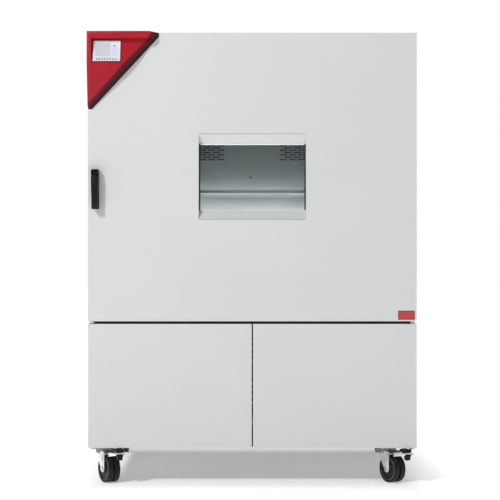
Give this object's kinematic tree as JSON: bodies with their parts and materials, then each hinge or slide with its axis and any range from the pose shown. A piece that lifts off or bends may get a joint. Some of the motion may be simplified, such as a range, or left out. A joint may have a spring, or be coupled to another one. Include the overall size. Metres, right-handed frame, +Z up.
{
  "type": "environmental test chamber",
  "caption": "Free-standing climatic test cabinet on castors with a windowed insulated main door, a corner control housing, lower machine-bay doors and a stainless test space.",
  "frame": {"origin": "on the floor, under the middle of the whole chamber's box", "axes": "+X to the right seen from the front, -Y out of the front doors, +Z up"},
  "size_m": [1.496, 1.16, 2.037],
  "materials": {
    "grey_paint": "light-grey powder coat, fine satin texture",
    "frame_paint": "dark-grey powder coat",
    "stainless": "brushed stainless sheet",
    "zinc_steel": "zinc-plated pressed steel",
    "black_steel": "black enamel",
    "aluminium": "plain satin",
    "copper_pipe": "drawn copper tube",
    "red_plastic": "red semi-gloss moulding",
    "black_plastic": "black satin moulding",
    "white_plastic": "natural white plastic",
    "screen": "pale display behind a clear cover",
    "foam": "closed-cell foam",
    "silicone": "soft silicone",
    "glass": "clear float glass with a faint green tint",
    "wheel_rubber": "black rubber tread on a black wheel body",
    "yellow_metal": "plain brass fitting"
  },
  "bodies": {
    "cabinet": {"base_frame": "frame_paint", "floor_tray": "zinc_steel", "left_side_panel": "grey_paint", "right_side_panel": "grey_paint", "top_panel": "grey_paint", "rear_panel": "grey_paint", "rear_grille": "grey_paint", "front_collar": "grey_paint", "chamber_liner": "stainless", "chamber_insulation": "foam", "air_guide_panel": "stainless", "evaporator": "aluminium", "heating_element": "stainless", "fan_motors": "black_steel", "condenser": "aluminium", "fan_shroud": "black_steel", "rack_supports": "stainless", "shelf": "stainless", "access_ports": "stainless", "compressor": "black_steel", "refrigerant_pipes": "copper_pipe", "humidifier": "stainless", "water_tank": "white_plastic", "electronics_box": "zinc_steel", "power_inlet": "black_plastic", "water_spigots": "yellow_metal", "hinge_brackets": "zinc_steel", "latch_keeper": "zinc_steel", "castor_plates": "zinc_steel"},
    "main_door": {"door_outer_panel": "grey_paint", "door_insulation": "foam", "door_inner_panel": "stainless", "door_gasket": "silicone", "outer_pane": "glass", "inner_pane": "glass", "window_frame": "aluminium", "instrument_housing": "red_plastic", "display_screen": "screen", "door_pivots": "zinc_steel", "handle_housing": "black_plastic", "door_latch": "zinc_steel"},
    "handle_lever": {"door_handle": "black_plastic"},
    "lower_door_left": {"left_lower_door": "grey_paint"},
    "lower_door_right": {"right_lower_door": "grey_paint"},
    "fan_left": {"circulation_fan_left": "aluminium"},
    "fan_right": {"circulation_fan_right": "aluminium"},
    "fan_condenser": {"condenser_fan": "black_plastic"},
    "plug": {"port_plug": "silicone"},
    "switch_knob": {"main_switch": "black_plastic"},
    "castor_front_left": {"castor_fork_front_left": "zinc_steel"},
    "wheels_front_left": {"castor_wheels_front_left": "wheel_rubber"},
    "pedal_front_left": {"brake_pedal_front_left": "zinc_steel"},
    "castor_front_right": {"castor_fork_front_right": "zinc_steel"},
    "wheels_front_right": {"castor_wheels_front_right": "wheel_rubber"},
    "pedal_front_right": {"brake_pedal_front_right": "zinc_steel"},
    "castor_rear_left": {"castor_fork_rear_left": "zinc_steel"},
    "wheels_rear_left": {"castor_wheels_rear_left": "wheel_rubber"},
    "castor_rear_right": {"castor_fork_rear_right": "zinc_steel"},
    "wheels_rear_right": {"castor_wheels_rear_right": "wheel_rubber"}
  },
  "joints": [
    {"name": "main_door_hinge", "type": "hinge", "parent": "cabinet", "child": "main_door", "pos_m": [0.722, -0.51, 1.39], "axis": [0, 0, 1], "range_deg": [0, 100]},
    {"name": "handle_pull", "type": "hinge", "parent": "main_door", "child": "handle_lever", "pos_m": [-0.706, -0.554, 1.406], "axis": [-1, 0, 0], "range_deg": [0, 30], "stiffness_Nm_per_rad": 0.4, "springref_deg": -17.19},
    {"name": "lower_door_left_hinge", "type": "hinge", "parent": "cabinet", "child": "lower_door_left", "pos_m": [-0.722, -0.51, 0.45], "axis": [0, 0, -1], "range_deg": [0, 100]},
    {"name": "lower_door_right_hinge", "type": "hinge", "parent": "cabinet", "child": "lower_door_right", "pos_m": [0.722, -0.51, 0.45], "axis": [0, 0, 1], "range_deg": [0, 100]},
    {"name": "circulation_fan_left_spin", "type": "hinge", "parent": "cabinet", "child": "fan_left", "pos_m": [-0.32, 0.2325, 1.62], "axis": [0, 1, 0], "continuous": true},
    {"name": "circulation_fan_right_spin", "type": "hinge", "parent": "cabinet", "child": "fan_right", "pos_m": [0.32, 0.2325, 1.62], "axis": [0, 1, 0], "continuous": true},
    {"name": "condenser_fan_spin", "type": "hinge", "parent": "cabinet", "child": "fan_condenser", "pos_m": [0, 0.4285, 0.42875], "axis": [0, 1, 0], "continuous": true},
    {"name": "port_plug_pull", "type": "slide", "parent": "cabinet", "child": "plug", "axis": [-1, 0, 0], "range_m": [0, 0.09]},
    {"name": "main_switch_turn", "type": "hinge", "parent": "cabinet", "child": "switch_knob", "pos_m": [0.47, -0.43, 0.56], "axis": [0, -1, 0], "range_deg": [-90, 0]},
    {"name": "castor_front_left_swivel", "type": "hinge", "parent": "cabinet", "child": "castor_front_left", "pos_m": [-0.676, -0.4, 0.15], "axis": [0, 0, 1], "continuous": true},
    {"name": "wheels_front_left_roll", "type": "hinge", "parent": "castor_front_left", "child": "wheels_front_left", "pos_m": [-0.654, -0.43811, 0.0625], "axis": [0.866, 0.5, 0], "continuous": true},
    {"name": "pedal_front_left_press", "type": "hinge", "parent": "castor_front_left", "child": "pedal_front_left", "pos_m": [-0.65, -0.44503, 0.131], "axis": [0.866, 0.5, 0], "range_deg": [0, 10], "stiffness_Nm_per_rad": 6, "springref_deg": -2.86},
    {"name": "castor_front_right_swivel", "type": "hinge", "parent": "cabinet", "child": "castor_front_right", "pos_m": [0.618, -0.4, 0.15], "axis": [0, 0, 1], "continuous": true},
    {"name": "wheels_front_right_roll", "type": "hinge", "parent": "castor_front_right", "child": "wheels_front_right", "pos_m": [0.64, -0.43811, 0.0625], "axis": [0.866, 0.5, 0], "continuous": true},
    {"name": "pedal_front_right_press", "type": "hinge", "parent": "castor_front_right", "child": "pedal_front_right", "pos_m": [0.644, -0.44503, 0.131], "axis": [0.866, 0.5, 0], "range_deg": [0, 10], "stiffness_Nm_per_rad": 6, "springref_deg": -2.86},
    {"name": "castor_rear_left_swivel", "type": "hinge", "parent": "cabinet", "child": "castor_rear_left", "pos_m": [-0.676, 0.42, 0.15], "axis": [0, 0, 1], "continuous": true},
    {"name": "wheels_rear_left_roll", "type": "hinge", "parent": "castor_rear_left", "child": "wheels_rear_left", "pos_m": [-0.676, 0.464, 0.0625], "axis": [-1, 0, 0], "continuous": true},
    {"name": "castor_rear_right_swivel", "type": "hinge", "parent": "cabinet", "child": "castor_rear_right", "pos_m": [0.676, 0.42, 0.15], "axis": [0, 0, 1], "continuous": true},
    {"name": "wheels_rear_right_roll", "type": "hinge", "parent": "castor_rear_right", "child": "wheels_rear_right", "pos_m": [0.676, 0.464, 0.0625], "axis": [-1, 0, 0], "continuous": true}
  ]
}
